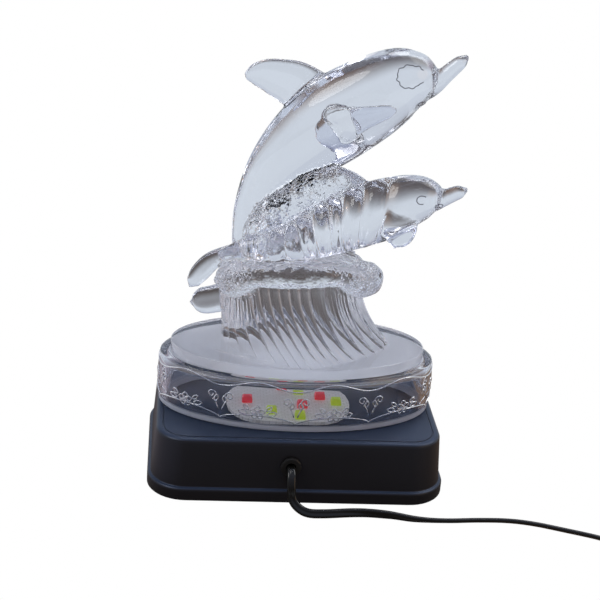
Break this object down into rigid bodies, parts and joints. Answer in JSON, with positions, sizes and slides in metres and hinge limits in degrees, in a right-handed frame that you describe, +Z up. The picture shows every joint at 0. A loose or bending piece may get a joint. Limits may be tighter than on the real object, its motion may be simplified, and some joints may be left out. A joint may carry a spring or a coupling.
{
  "type": "lighted dolphin statue",
  "caption": "Clear cast statue of leaping dolphins above a ribbed wave, on a hollow oval drum that is lit from below, with a black lamp base and a mains cord.",
  "frame": {"origin": "on the table, under the middle of the lamp base", "axes": "+Z up, the side with the cord faces -Y, the dolphins' heads point to +X"},
  "size_m": [0.3045, 0.1536, 0.2095],
  "materials": {
    "clear_acrylic": "clear cast acrylic, polished",
    "black_abs": "moulded black ABS, glossy",
    "white_board": "white solder mask",
    "red_lens": "tinted LED lens",
    "yellow_lens": "tinted LED lens",
    "black_rubber": "moulded black rubber",
    "black_flex": "black PVC sheath",
    "plated_pin": "nickel plate"
  },
  "bodies": {
    "root": {"dolphin_statue": "clear_acrylic", "light_base": "black_abs", "base_cover": "black_abs", "led_board": "white_board", "led_red_1": "red_lens", "led_red_2": "red_lens", "led_red_3": "red_lens", "led_red_4": "red_lens", "led_yellow_1": "yellow_lens", "led_yellow_2": "yellow_lens", "led_yellow_3": "yellow_lens", "led_yellow_4": "yellow_lens", "cord_grommet": "black_rubber", "power_cord": "black_flex", "cord_coil": "black_flex", "cord_tie": "black_rubber", "cord_tail": "black_flex", "plug_body": "black_flex", "plug_pin_left": "plated_pin", "plug_pin_right": "plated_pin"}
  },
  "joints": []
}
